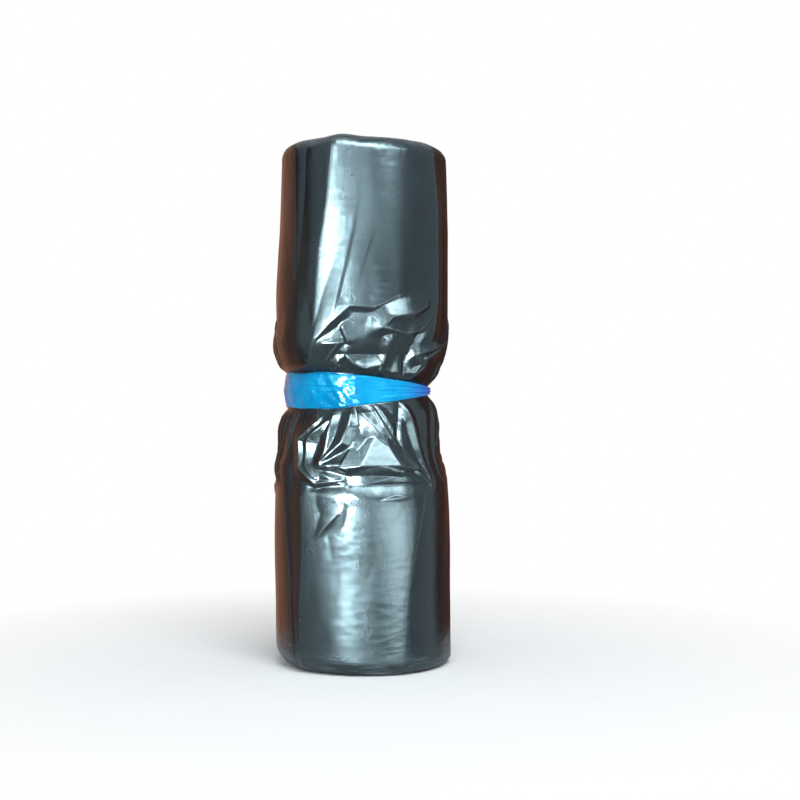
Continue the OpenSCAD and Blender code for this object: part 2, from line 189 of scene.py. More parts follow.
# Squeezed film: (depth, stretch round the roll, stretch up it, size, seed) for each layer of it.
NECK_CRUMPLES = [(1.8, 1.0, 0.5, 15.0, 1), (0.40, 1.0, 0.8, 6.0, 4)]
BARREL_CRUMPLES = [(0.07, 1.0, 0.5, 20.0, 7), (0.05, 0.8, 1.0, 8.0, 9)]
RIM_CRUMPLES = [(0.5, 1.0, 0.6, 9.0, 3), (0.25, 1.0, 1.0, 4.0, 6)]

# Pleats round the sides and the back: how many, and the angles that they lie between.
PLEATS = 17
PLEATS_FROM = 66.0
PLEATS_TO = 312.0

# Colours and glossiness of the films.
FILM_IOR = 1.5
BLACK_TINT = (0.64, 0.92, 1.0, 1)
BLUE_TINT = (0.09, 0.34, 0.48, 1)
GREY_DUST = (0.42, 0.44, 0.44, 1)
BLUE_DUST = (0.5, 0.6, 0.7, 1)

# The camera's place in metres and its lens, the world's light on the roll, and the size of the floor.
CAMERA_PLACE = (0.0215, -0.825, 0.1536)
LENS = 63
WORLD_LIGHT = 0.55
FLOOR_RADIUS = 6
FLOOR_DROP = 0.0003

# Where the lights and panels aim, in metres, and the panels themselves:
# name, azimuth, elevation, distance, (width, height), colour, strength, how far the rim is faded.
AIM = Vector((0, 0, 0.15))
WHITE = (1.0, 1.0, 1.0, 1)
PANELS = [
    ("panel_upper", -30, 9, 1.6, (2.2, 0.9), WHITE, 27.0, 0.5),
    ("panel_lower", 38, -6, 1.6, (2.0, 0.76), WHITE, 22.0, 0.5),
    ("panel_wide", -2, -5, 1.7, (3.6, 0.8), WHITE, 11.0, 0.5),
    ("panel_high", 8, 38, 1.5, (1.6, 0.9), WHITE, 50.0, 0.4),
    ("panel_mid", 32, 28, 1.55, (1.8, 0.46), WHITE, 60.0, 0.5),
    ("panel_fade", 2, 8, 1.5, (1.5, 0.5), WHITE, 8.0, 0.5),
    ("panel_hot", -20, 0.8, 1.5, (0.8, 0.24), WHITE, 700.0, 0.3),
    ("card_left", -135, 0, 0.32, (0.78, 0.7), (0.66, 0.30, 0.18, 1), 1.0, 0.1),
    ("card_right", 148, 0, 0.32, (0.50, 0.7), (0.20, 0.08, 0.05, 1), 1.0, 0.1),
]


def turn_from(angle, start):
    """The angle from start, the short way round."""
    return (angle - start + 180.0) % 360.0 - 180.0


def bell(x, middle, spread_out):
    """1 in the middle, falling softly to nothing on both sides."""
    return np.exp(-(((x - middle) / spread_out) ** 2))


def wander(i, size):
    """A fixed value between -size and size for each i, without any plain order."""
    return size * math.sin(math.radians(i * 137.5 + 40))


def gathered_ridges():
    """Pleats that the strip draws in round the sides and the back, and creases that run on from some."""
    ridges = []
    for i in range(PLEATS):
        a = PLEATS_FROM + (PLEATS_TO - PLEATS_FROM) * (i + 0.5) / PLEATS + wander(i, 3)
        turn, rise = wander(i + 3, 9), wander(i + 7, 5)
        k = min(1, max(0.35, 0.35 + (300 - a) / 40), max(0.5, 0.5 + (a - 70) / 40))
        top, head = a + turn, 27 + rise
        low, foot = a - turn, -42 + rise
        ridges += [
            (0.45, 0.40, [(a, 4, 1.2 * k), (a + turn / 2, 16, 2.8 * k), (top, head, 2.8 * k)]),
            (0.25, 0.45, [(top, head, 2.8 * k), (top + 9, head + 8, 2.2 * k),
                          (top + 15, head + 5, 1.4 * k)]),
            (0.45, 0.40, [(a, -4, 1.2 * k), (a - turn / 2, -22, 2.8 * k), (low, foot, 3.0 * k)]),
            (0.45, 0.25, [(low, foot, 3.0 * k), (low + 8, foot - 11, 2.4 * k),
                          (low + 16, foot - 8, 1.4 * k)]),
            (0.50, 0.50, [(a + 7, 3, 0.8 * k), (top + 7, 13 + rise / 2, 1.9 * k),
                          (top + 3, head - 6, 1.6 * k)]),
            (0.50, 0.50, [(a + 7, -3, 0.8 * k), (low + 8, -15 - rise / 2, 2.0 * k),
                          (low + 3, foot + 11, 1.8 * k)]),
        ]
        if i % 3 == 1:
            ridges += [
                (0.10, 0.10, [(top, 30, 1.6), (a + turn / 2, 85, 1.2), (a, 140, 0.8)]),
                (0.10, 0.10, [(low, -45, 1.6), (a, -95, 1.2), (a + turn / 2, -154, 0.8)]),
            ]
    return ridges


def flank_lift(falls, start, end, angle, above):
    """Height of the two flanks of one length of a fold over each point, and the distance to its crest."""
    fall_left, fall_right = falls
    (a0, h0, l0), (a1, h1, l1) = start, end
    across, up = turn_from(angle, a0) * ARC, above - h0
    run_a, run_h = (a1 - a0) * ARC, h1 - h0
    t = np.clip((across * run_a + up * run_h) / (run_a**2 + run_h**2), 0, 1)
    away = np.hypot(across - run_a * t, up - run_h * t)
    side = (run_a * up - run_h * across) / (math.hypot(run_a, run_h) * np.maximum(away, CREST_NEAR))
    fall = fall_right + (fall_left - fall_right) * (0.5 + 0.5 * np.clip(2 * side, -1, 1))
    crest = l0 + (l1 - l0) * t
    reach = FLANK_REACH * crest / fall
    soft = CREST_ROUND * (STEEP_FALL / fall) ** 1.5
    fallen = (np.sqrt(away**2 + soft**2) - soft) / reach
    return crest * np.clip(1 - fallen, 0, 1) ** FLANK_HOLLOW, away


def folds_lift(folds, angle, above):
    """Height of the highest flank over each point, and how close the point lies to the top of a fold."""
    lift = np.zeros_like(angle)
    edge = np.zeros_like(angle)
    for fall_left, fall_right, points in folds:
        for start, end in zip(points, points[1:]):
            flank, away = flank_lift((fall_left, fall_right), start, end, angle, above)
            higher = flank > lift
            edge = np.where(higher, bell(away, 0, CREST_WIDTH), edge)
            lift = np.where(higher, flank, lift)
    return lift, edge


def with_facets(radius, angle, above):
    """The radius, or that of a flat facet where the facet stands further out."""
    for (a, h, out), (faces, tilt), (wide, tall) in FRONT_FACETS:
        turned = np.radians(np.clip(angle - faces, -FACET_TURN, FACET_TURN))
        plane = (out - (above - h) * math.tan(math.radians(tilt))) / np.cos(turned)
        half = wide * (1 + FACET_FLARE * np.clip((h - above) / tall, -1, 1))
        beside = np.maximum(0, np.abs(angle - a) * ARC - half)
        past = np.hypot(beside, FACET_ENDS * np.maximum(0, np.abs(above - h) - tall))
        radius = np.where(past < FACET_REACH, np.maximum(radius, plane - FACET_FALL * past), radius)
    return radius


def strip_open(angle):
    """How open the strip is: 0 where it is gathered for the knot, 1 where it lies flat."""
    around = np.abs(turn_from(angle, KNOT_ANGLE))
    return np.clip((around - GATHER_END) / (FLAT_START - GATHER_END), 0, 1)


def strip_half_width(angle):
    """Half of the strip's width, which narrows towards the knot."""
    return (STRIP_GATHERED + (STRIP_WIDTH - STRIP_GATHERED) * strip_open(angle)) / 2


def share(profile, x):
    """The value of a profile of (place, value) pairs at x."""
    table = np.array(profile, float)
    return np.interp(x, table[:, 0], table[:, 1])


def soft_share(profile, x):
    """The same, with the corners of the profile rounded away from its start."""
    soft = np.mean([share(profile, x + d) for d in (-0.08, -0.05, -0.02, 0.02, 0.05, 0.08)], axis=0)
    near = np.clip(x / 0.12, 0, 1)
    return share(profile, x) * (1 - near) + soft * near


def shift_of_waist(z):
    """How far the roll's middle line lies off the axis, to the left."""
    return -WAIST_SHIFT * share(SHIFT_SHARE, z - WAIST_HEIGHT)


def roll_top(angle):
    """Height of the upper rim, which slants a little and has a low peak on the front."""
    peak = PEAK_LIFT * bell(turn_from(angle, PEAK_ANGLE), 0, PEAK_SPREAD)
    return ROLL_LENGTH - TOP_SLANT * (1 + np.sin(np.radians(angle))) / 2 + peak


def foot_round(angle):
    """The rounding of the foot, which is larger on the left."""
    return FOOT_CURL + FOOT_CRUSH * (1 - np.sin(np.radians(angle))) / 2


def curl(radius, inside):
    """How far a rounded rim draws in, at a distance inside the start of its rounding."""
    return radius - np.sqrt(np.maximum(0, radius**2 - np.maximum(0, inside) ** 2))


def barrel_radius(angle, z):
    """Radius of the roll without folds: two barrels and the necks between them and the waist."""
    edge = strip_half_width(angle) + EDGE_GAP
    above, below = z - WAIST_HEIGHT, WAIST_HEIGHT - z
    taper = np.clip((above - UPPER_NECK) / (ROLL_LENGTH - WAIST_HEIGHT - UPPER_NECK), 0, 1)
    upper = UPPER_RADIUS + (TOP_RADIUS - UPPER_RADIUS) * taper
    rise_up = soft_share(UPPER_RISE, (above - edge) / (UPPER_NECK - edge))
    rise_down = soft_share(LOWER_RISE, (below - edge) / (LOWER_NECK - edge))
    return np.where(above > 0, WAIST_RADIUS + (upper - WAIST_RADIUS) * rise_up,
                    WAIST_RADIUS + (LOWER_RADIUS - WAIST_RADIUS) * rise_down)


def flat_back(angle):
    """The radius of the small flat along the back, and no limit away from it."""
    behind = np.abs(turn_from(angle, 180))
    flat = (LOWER_RADIUS - LYING_FLAT) / np.cos(np.radians(np.minimum(behind, 60)))
    return np.where(behind < 60, flat, np.inf)


def film_radius(angle, z):
    """Radius of the outermost film, and the closeness to a fold's edge, which places the painted crest
    highlight.
    """
    above = z - WAIST_HEIGHT
    pinched = np.clip((np.abs(above) - strip_half_width(angle) - EDGE_GAP) / PINCH, 0, 1)
    ridges, edge = folds_lift(FRONT_RIDGES + gathered_ridges(), angle, above)
    valleys, _ = folds_lift(FRONT_VALLEYS, angle, above)
    radius = np.minimum(barrel_radius(angle, z) + pinched * (ridges - valleys), flat_back(angle))
    foot = foot_round(angle)
    radius -= curl(foot, foot - z) + curl(TOP_CURL, z - roll_top(angle) + TOP_CURL)
    return radius, edge * pinched


def lap_lift(angle):
    """How far the film stands out over the turn below it, towards its free edge."""
    return LAP_LIFT * np.clip(1 - (LAP_END - angle) / LAP_SPAN, 0, 1)


def on_roll(angle, radius, z):
    """Points round the roll, whose middle line shifts to the left at the waist."""
    a = np.radians(angle)
    return np.stack([shift_of_waist(z) + radius * np.sin(a), -radius * np.cos(a), z], axis=-1)


def new_grid(name, columns, rows):
    """A flat grid, ready to be bent to shape: columns across X and rows up Y."""
    bpy.ops.object.select_all(action="DESELECT")
    bpy.ops.mesh.primitive_grid_add(x_subdivisions=columns - 1, y_subdivisions=rows - 1, size=2)
    piece = bpy.context.object
    piece.name = name
    piece.data.name = name
    co = np.zeros(len(piece.data.vertices) * 3)
    piece.data.vertices.foreach_get("co", co)
    co = co.reshape(-1, 3)
    u = np.rint((co[:, 0] + 1) / 2 * (columns - 1)).astype(int)
    v = np.rint((co[:, 1] + 1) / 2 * (rows - 1)).astype(int)
    return piece, u, v


def bend_to(piece, points):
    """Moves the points of a piece to places in millimetres."""
    piece.data.vertices.foreach_set("co", (points * MM).astype(np.float32).ravel())
    piece.data.update()


def keep_value(piece, name, values):
    """An attribute that the piece's material reads."""
    attribute = piece.data.attributes.new(name, "FLOAT", "POINT")
    attribute.data.foreach_set("value", values.astype(np.float32))


def lay_uv(piece, name, along, up):
    """A UV map in metres of film, from values on the vertices."""
    layer = piece.data.uv_layers[0] if piece.data.uv_layers else piece.data.uv_layers.new()
    layer.name = name
    corners = np.zeros(len(piece.data.loops), int)
    piece.data.loops.foreach_get("vertex_index", corners)
    uv = np.stack([along[corners], up[corners]], axis=-1) * MM
    layer.data.foreach_set("uv", uv.astype(np.float32).ravel())


def press(piece, name, kind, size, strength, group="", **settings):
    """Presses a soft pattern into the film with a displacement, and applies it."""
    texture = bpy.data.textures.new(name, kind)
    texture.noise_scale = size
    for key, value in settings.items():
        setattr(texture, key, value)
    bpy.context.view_layer.objects.active = piece
    modifier = piece.modifiers.new(name, "DISPLACE")
    modifier.texture = texture
    modifier.texture_coords = "LOCAL"
    modifier.strength = strength
    modifier.mid_level = 0.5
    modifier.direction = "NORMAL"
    modifier.vertex_group = group
    bpy.ops.object.modifier_apply(modifier=name)


def weigh(piece, name, weights):
    """A vertex group with a weight for every vertex, in sixteen steps."""
    group = piece.vertex_groups.new(name=name)
    steps = np.rint(np.clip(weights, 0, 1) * 16).astype(int)
    for step in range(1, 17):
        members = np.nonzero(steps == step)[0].tolist()
        if members:
            group.add(members, step / 16, "REPLACE")


def merge_close(distance):
    """Joins the points of the active piece that lie closer together than the distance in metres."""
    bpy.ops.object.mode_set(mode="EDIT")
    bpy.ops.mesh.select_all(action="SELECT")
    bpy.ops.mesh.remove_doubles(threshold=distance)
    bpy.ops.object.mode_set(mode="OBJECT")


def spread(stations, counts):
    """Places along a line, with a given number of steps between one station and the next."""
    places = [np.linspace(a, b, n, endpoint=False) for a, b, n in zip(stations, stations[1:], counts)]
    return np.concatenate(places + [[stations[-1]]])


def roll_columns():
    """The angles of the roll's columns, closest together on the front."""
    return spread([LAP_ANGLE, -84, 84, LAP_END], [40, 230, 60])


def rim_steps(size):
    """Shares of the roll's length over a rounded rim, closer together towards the end of the roll."""
    turn = np.linspace(0, math.pi / 2, ROUND_STEPS + 1)
    return size / ROLL_LENGTH * (1 - np.cos(turn))


def crinkle(across, up, size, seed):
    """Flat facets between sharp creases, as film takes them when it is squeezed; runs from -0.5 to 0.5."""
    total = np.zeros_like(across)
    for i in range(5):
        lean = math.radians(wander(seed + i, 50))
        way = across * math.cos(lean) + up * math.sin(lean) * 0.6
        bend = 0.45 * np.sin((up * (0.5 + 0.1 * i) + across * 0.2) / size + seed + 2 * i)
        bend += 0.35 * np.sin(across * (0.7 + 0.1 * i) / size + 1.7 * i + seed)
        wave = (way / size * (0.55 + 0.17 * i) + bend + 0.37 * i) % 1.0
        total += (1 - np.abs(2 * wave - 1)) / 5
    return total - 0.5


def hollows(angle, up):
    """How far the film is drawn in beside the strip on the left, and on the front above the strip."""
    tuck = bell(angle, TUCK_ANGLE, TUCK_SPREAD[0]) * bell(np.abs(up), TUCK_HEIGHT, TUCK_SPREAD[1])
    return LEFT_TUCK * tuck + FRONT_HOLLOW * share(HOLLOW_UP, up) * share(HOLLOW_ROUND, angle)


def crumpled(layers, across, up):
    """Several layers of crinkles on top of each other, in millimetres."""
    return sum(depth * crinkle(across * wide, up * tall, size, seed)
               for depth, wide, tall, size, seed in layers)


def crumples(angle, up, necks, barrels, rims):
    """Squeezed film: strong at the necks, faint along the barrels, small along the upper rim."""
    across = angle * ARC
    lively = np.where(up > 0, 0.55, 1.0) * (0.5 + 0.5 * np.sin(across / 7 + up / 16) ** 2)
    strong = lively * crumpled(NECK_CRUMPLES, across, up)
    faint, small = crumpled(BARREL_CRUMPLES, across, up), crumpled(RIM_CRUMPLES, across, up)
    return necks * strong + barrels * faint + rims * small


def make_film(name, heights):
    """Half of the outermost film: from under its own free edge, round the roll and back over it."""
    tucked = np.linspace(LAP_ANGLE - FILM_UNDER, LAP_ANGLE, 4, endpoint=False)
    columns = np.concatenate([tucked, roll_columns(), [LAP_END + EDGE_TURN]])
    piece, u, v = new_grid(name, len(columns), len(heights))
    column = columns[u]
    z = heights[v] * roll_top(column)
    up = z - WAIST_HEIGHT
    within = np.clip(z / RIM_CALM, 0, 1) * np.clip((ROLL_LENGTH - z) / RIM_CALM, 0, 1)
    near_edge = np.clip((column - LAP_END + EDGE_SPAN) / EDGE_SPAN, 0, 1)
    angle = column + near_edge * within * EDGE_WAVES * (np.sin(z / 23.0) + 0.4 * np.sin(z / 9.0 + 1))
    radius, edge = film_radius(angle, z)
    radius -= hollows(angle, up)
    under = column < LAP_ANGLE
    seat = np.clip((np.abs(up) - strip_half_width(angle) - 1) / 8, 0, 1)
    free = (1 - near_edge) * (~under) * within * seat
    necks = free * np.clip((66 - np.abs(up)) / 30, 0, 1)
    barrels = free * np.clip((np.abs(up) - 25) / 30, 0.2, 1)
    rims = (~under) * np.clip((z - ROLL_LENGTH + 16) / 12, 0, 1)
    radius = with_facets(radius + crumples(angle, up, necks, barrels, rims), angle, up)
    radius += np.where(u == len(columns) - 1, EDGE_LIFT, lap_lift(column)) - UNDER_SINK * under
    bend_to(piece, on_roll(angle, radius, z))
    lay_uv(piece, "film", angle * ARC, z)
    # Closeness to a fold's crest, where the material paints a highlight into the base colour.
    keep_value(piece, "crest_highlight", edge)
    keep_value(piece, "rim", np.maximum(bell(z, 0, 8), 0.5 * bell(z, ROLL_LENGTH, 6)))
    weigh(piece, "barrels", barrels)
    press(piece, name + " waves", "CLOUDS", 0.060, 0.0007, "barrels")
    bpy.ops.object.shade_smooth()
    return piece


def make_end(name, upper, rows):
    """The film edges at one end: turns that run inwards along a spiral, each of several folded layers."""
    columns = roll_columns()
    piece, u, v = new_grid(name, len(columns), rows)
    angle = columns[u]
    inward = v / (rows - 1)
    rim_z = roll_top(angle) if upper else np.zeros_like(angle)
    rim, _ = film_radius(angle, rim_z)
    mean = float(np.mean(rim))
    radius = mean * (1 - inward) + (rim - mean + lap_lift(angle)) * (1 - inward) ** 3
    phase = (mean * inward) / TURN_PITCH - (LAP_END - angle) / 360.0
    soft = 0.10 * np.sin(np.radians(angle * 3)) + 0.05 * np.sin(np.radians(angle * 7 + 40))
    turns = np.abs(np.sin(np.pi * (phase + soft * np.clip(inward * 6, 0, 1))))
    layers = np.abs(np.sin(np.pi * LAYERS * phase + 2 * soft))
    from_rim = np.clip(inward * 16, 0, 1)
    deep = (TURN_DEPTH * turns**0.8 + LAYER_DEPTH * layers) * from_rim
    if upper:
        uneven = 0.5 + 0.5 * np.sin(phase * 2.1 + np.radians(angle * 2))
        uneven += 0.4 * np.sin(np.radians(angle * 5) + phase * 3)
        deep += UNEVEN_DEPTH * uneven * from_rim
        deep += EYE_DEPTH * np.clip(1 - radius / (EYE_RADIUS * 1.3), 0, 1) ** 0.6
        z = rim_z - np.maximum(deep, 0)
    else:
        z = np.maximum(deep, 0) * np.clip(radius / EYE_RADIUS, 0, 1)
    bend_to(piece, on_roll(angle, radius, z))
    lay_uv(piece, "edges", phase * TURN_PITCH, angle * ARC)
    merge_close(0.00002)
    if not upper:
        piece.data.flip_normals()
    bpy.ops.object.shade_smooth()
    return piece


def strip_folds(angle, side, half, open_):
    """Pleats towards the knot, facets where the strip lies flat, and one long crease on its left."""
    drawn = np.clip((0.75 - open_) / 0.6, 0, 1)
    pleats = 0.35 * np.sin(side * 9 + np.radians(angle * 2)) + 0.25 * np.sin(side * 17 - np.radians(angle))
    across, up = angle * ARC, half * side
    flat = np.clip((14 - angle) / 24, 0.15, 1) * open_
    facets = 1.3 * crinkle(across + 0.7 * up, up, 12.0, 2) + 0.6 * crinkle(across, 1.6 * up, 7.0, 5)
    line = 0.28 + 0.1 * np.sin(np.radians(angle * 4))
    crease = 0.35 * bell(side, line, 0.05) * np.clip((-2 - angle) / 14, 0, 1)
    return 0.8 * (drawn * pleats + flat * facets) - crease


def make_strip():
    """The strip of blue film, flat across the front and gathered into pleats towards the knot."""
    columns = spread([KNOT_ANGLE - 360, -100, 84, KNOT_ANGLE], [170, 300, 60])
    rows = 41
    piece, u, v = new_grid("strip", len(columns), rows)
    angle = columns[u]
    side = v / (rows - 1) * 2 - 1
    open_ = strip_open(angle)
    half = strip_half_width(angle)
    wavy = 0.35 * np.sin(np.radians(angle * 3.1) + side) + 0.25 * np.sin(np.radians(angle * 9))
    z = WAIST_HEIGHT + half * side + wavy * open_ * np.abs(side)
    thick = STRIP_THICKNESS + (GATHER_THICKNESS - STRIP_THICKNESS) * (1 - open_)
    bulge = 1 - 0.5 * (1 - open_) * side**2
    radius = WAIST_RADIUS + SEAT_GAP + thick * bulge + strip_folds(angle, side, half, open_)
    rolled = np.clip((np.abs(side) - 0.96) / 0.04, 0, 1)
    radius -= rolled * (radius - WAIST_RADIUS - 0.05)
    bend_to(piece, on_roll(angle, radius, z))
    lay_uv(piece, "strip", angle * ARC, half * side)
    keep_value(piece, "gathered", 1 - open_)
    # Painted reflection: violet on the lower left of the strip's front stands in for warm brown surroundings
    # reflected there; violet towards the knot follows the gathering.
    painted_reflection_lower_left = bell(angle, -84, 12) * np.clip(0.6 - side, 0, 1)
    keep_value(piece, "violet", painted_reflection_lower_left + (1 - open_) ** 6)
    weigh(piece, "face", (1 - rolled) * np.clip(open_ * 2, 0.2, 1))
    press(piece, "strip crinkle", "CLOUDS", 0.006, 0.0004, "face")
    merge_close(0.00001)
    bpy.ops.object.shade_smooth()
    return piece


def place_at_knot(piece):
    """Moves a piece that was shaped about its own middle to the knot, with its X along the strip."""
    radius = WAIST_RADIUS + SEAT_GAP + KNOT_RADIUS
    centre = on_roll(np.array(KNOT_ANGLE), np.array(radius), np.array(WAIST_HEIGHT))
    piece.rotation_euler = (0, 0, math.radians(KNOT_ANGLE))
    piece.location = Vector(centre.tolist()) * MM
    bpy.ops.object.select_all(action="DESELECT")
    piece.select_set(True)
    bpy.context.view_layer.objects.active = piece
    bpy.ops.object.transform_apply(location=True, rotation=True, scale=True)


def squeeze(piece, name, size, depth, turbulence):
    """Presses bands of folds into a piece of the knot."""
    press(piece, name, "WOOD", size, depth, noise_basis="BLENDER_ORIGINAL", wood_type="BANDNOISE",
          turbulence=turbulence)
    bpy.ops.object.shade_smooth()


def make_knot():
    """The knot: a squeezed lump with one turn of gathered film round it."""
    bpy.ops.object.select_all(action="DESELECT")
    bpy.ops.mesh.primitive_uv_sphere_add(segments=48, ring_count=32, radius=0.8 * KNOT_RADIUS * MM)
    lump = bpy.context.object
    lump.name = "knot_lump"
    lump.scale = (1.6, 1.0, 1.05)
    bpy.ops.object.transform_apply(location=False, rotation=False, scale=True)
    squeeze(lump, "lump folds", 0.004, 0.0007, 3.0)
    place_at_knot(lump)
    bpy.ops.object.select_all(action="DESELECT")
    bpy.ops.mesh.primitive_torus_add(major_segments=64, minor_segments=32,
                                     major_radius=0.64 * KNOT_RADIUS * MM,
                                     minor_radius=0.36 * KNOT_RADIUS * MM,
                                     rotation=(0, math.radians(90), 0))
    turn = bpy.context.object
    turn.name = "knot_turn"
    bpy.ops.object.transform_apply(location=False, rotation=True, scale=True)
    squeeze(turn, "turn folds", 0.003, 0.0005, 2.0)
    place_at_knot(turn)
    return lump, turn


def make_tail(name, side):
    """A loose end of the strip: it leaves the knot pleated and opens out over the shoulder."""
    columns, rows = 90, 33
    piece, u, v = new_grid(name, columns, rows)
    t = u / (columns - 1)
    across = v / (rows - 1) * 2 - 1
    reach = TAIL_LENGTH * 0.72
    width = TAIL_ROOT + (TAIL_WIDTH - TAIL_ROOT) * t**0.8
    aside = across * width / 2 / math.sqrt(2)
    tip = 0.7 * np.clip((t - 0.9) / 0.1, 0, 1) * 1.2 * np.sin(across * 5 + side)
    along = KNOT_ANGLE * ARC + 2 + (reach - 2) * t - side * aside + tip
    up = side * (1.2 + (reach - 1.2) * t) + aside + side * tip
    angle, z = along / ARC, WAIST_HEIGHT + up
    lying = film_radius(angle, z)[0] + 1.3 + t**2
    knotted = np.maximum(WAIST_RADIUS + SEAT_GAP + KNOT_RADIUS - 0.4, lying)
    radius = knotted + (lying - knotted) * np.clip(t * 2.5, 0, 1)
    pleats = (1 - t) ** 0.7 * np.sin(across * 8) * 0.5 + t * 0.5 * np.sin(across * 3 + t * 5 * side)
    bend_to(piece, on_roll(angle, radius + STRIP_THICKNESS / 2 + pleats, z))
    lay_uv(piece, "strip", t * TAIL_LENGTH, across * width / 2)
    keep_value(piece, "gathered", (1 - t) ** 1.5)
    keep_value(piece, "violet", (1 - t) ** 3)
    weigh(piece, "face", np.clip(t * 3, 0, 1))
    press(piece, name + " crinkle", "CLOUDS", 0.006, 0.0008, "face")
    modifier = piece.modifiers.new("film", "SOLIDIFY")
    modifier.thickness = TAIL_FILM * MM
    modifier.offset = 0
    bpy.ops.object.modifier_apply(modifier="film")
    bpy.ops.object.mode_set(mode="EDIT")
    bpy.ops.mesh.select_all(action="SELECT")
    bpy.ops.mesh.normals_make_consistent(inside=False)
    bpy.ops.object.mode_set(mode="OBJECT")
    bpy.ops.object.shade_smooth()
    return piece


class Nodes:
    """Adds and joins nodes in one tree, with each node placed to the right of the last."""

    def __init__(self, tree):
        self.tree, self.x = tree, -1400

    def give(self, socket, value):
        """Joins another node's output to a socket, or sets the socket to a constant."""
        if isinstance(value, bpy.types.NodeSocket):
            self.tree.links.new(value, socket)
        else:
            socket.default_value = value

    def add(self, kind, inputs=None, **settings):
        node = self.tree.nodes.new(kind)
        self.x += 170
        node.location = (self.x, 0)
        for key, value in settings.items():
            setattr(node, key, value)
        for key, value in (inputs or {}).items():
            self.give(node.inputs[key], value)
        return node

    def end(self, shader, kind="ShaderNodeOutputMaterial"):
        self.tree.links.new(shader.outputs[0], self.add(kind).inputs[0])

    def object_place(self):
        return self.add("ShaderNodeTexCoord").outputs["Object"]

    def attribute(self, name):
        return self.add("ShaderNodeAttribute", attribute_name=name).outputs["Fac"]

    def math(self, operation, a, b=0.5, c=0.5, clamp=False):
        return self.add("ShaderNodeMath", {0: a, 1: b, 2: c}, operation=operation, use_clamp=clamp).outputs[0]

    def scaled(self, place, by):
        return self.add("ShaderNodeVectorMath", {0: place, 1: by}, operation="MULTIPLY").outputs[0]

    def noise(self, place, scale, detail, roughness=0.5, distortion=0.0, output="Fac", **settings):
        inputs = {"Vector": place, "Scale": scale, "Detail": detail, "Roughness": roughness,
                  "Distortion": distortion}
        return self.add("ShaderNodeTexNoise", inputs, **settings).outputs[output]

    def ramp(self, value, low, high, to_low=0.0, to_high=1.0):
        inputs = {0: value, 1: low, 2: high, 3: to_low, 4: to_high}
        return self.add("ShaderNodeMapRange", inputs).outputs[0]

    def blend(self, factor, a, b):
        node = self.add("ShaderNodeMix", data_type="RGBA")
        for place, value in ((0, factor), (6, a), (7, b)):
            self.give(node.inputs[place], value)
        return node.outputs[2]


def crumple_height(n, place):
    """Small creased facets, stronger in some patches of the film than in others."""
    slanted = n.add("ShaderNodeMapping", {"Vector": place, "Location": (0.3, 0.1, 0.2),
                                          "Rotation": (0.0, 0.6, 0.0), "Scale": (1.0, 1.0, 2.6)}).outputs[0]
    sharp = n.noise(slanted, 105.0, 2.5, distortion=0.5, noise_type="RIDGED_MULTIFRACTAL")
    patches = n.noise(place, 22.0, 2.0)
    shaken = n.noise(place, 60.0, 3.0, output="Color")
    moved = n.add("ShaderNodeVectorMath", {0: shaken, 1: (0.02, 0.02, 0.02), 2: slanted},
                  operation="MULTIPLY_ADD").outputs[0]
    facets = n.add("ShaderNodeTexVoronoi", {"Vector": moved, "Scale": 90.0}).outputs["Distance"]
    crumpled = n.math("MULTIPLY_ADD", sharp, 0.25, n.math("MULTIPLY", facets, 1.4))
    return n.math("MULTIPLY", crumpled, n.ramp(patches, 0.3, 0.62, 0.3, 1.0))


def dust_specks(n, place, amount):
    """1 on a few small specks of dust."""
    specks = n.add("ShaderNodeTexVoronoi", {"Vector": place, "Scale": 170.0}).outputs
    here = n.math("LESS_THAN", specks["Distance"], 0.07)
    chosen = n.add("ShaderNodeSeparateColor", {0: specks["Color"]}).outputs[0]
    few = n.math("LESS_THAN", chosen, n.math("MULTIPLY", amount, 0.06))
    return n.math("MULTIPLY", here, few)


def film_wear_group():
    """Crinkle, haze and dust of thin handled film, shared by all three materials."""
    group = bpy.data.node_groups.new("film wear", "ShaderNodeTree")
    for name in ("Crinkle size", "Stretch", "Dust amount"):
        group.interface.new_socket(name=name, in_out="INPUT", socket_type="NodeSocketFloat")
    for name in ("Height", "Haze", "Dust"):
        group.interface.new_socket(name=name, in_out="OUTPUT", socket_type="NodeSocketFloat")
    n = Nodes(group)
    given = n.add("NodeGroupInput").outputs
    place = n.object_place()
    pulled = n.add("ShaderNodeCombineXYZ", {0: 1.0, 1: 1.0, 2: given["Stretch"]}).outputs[0]
    along = n.scaled(place, pulled)
    crinkled = n.noise(along, given["Crinkle size"], 4.0, 0.55, 0.4)
    fine = n.math("MULTIPLY_ADD", n.noise(place, 70.0, 3.0), 0.4, crinkled)
    height = n.math("MULTIPLY_ADD", crumple_height(n, place), 0.8, fine)
    haze = n.noise(along, 45.0, 5.0, 0.65)
    dust = dust_specks(n, place, given["Dust amount"])
    n.add("NodeGroupOutput", {"Height": height, "Haze": haze, "Dust": dust})
    return group


def new_material(name):
    """An empty material, and its nodes to add to."""
    material = bpy.data.materials.new(name)
    material.use_nodes = True
    material.node_tree.nodes.clear()
    return material, Nodes(material.node_tree)


def worn_film(n, wear, size, stretch, dust):
    """The outputs of the wear group, with the size and stretch of its crinkles and the amount of dust."""
    inputs = {"Crinkle size": size, "Stretch": stretch, "Dust amount": dust}
    return n.add("ShaderNodeGroup", inputs, node_tree=wear).outputs


def end_film(n, colour, rough, tint, height, strength, depth, reflects=0.5):
    """Closes a film's material; depth is how deep the bump is, in metres."""
    bump = n.add("ShaderNodeBump", {"Strength": strength, "Distance": depth, "Height": height}).outputs[0]
    inputs = {"Base Color": colour, "Roughness": rough, "Normal": bump, "IOR": FILM_IOR,
              "Specular IOR Level": reflects, "Specular Tint": tint}
    n.end(n.add("ShaderNodeBsdfPrincipled", inputs))


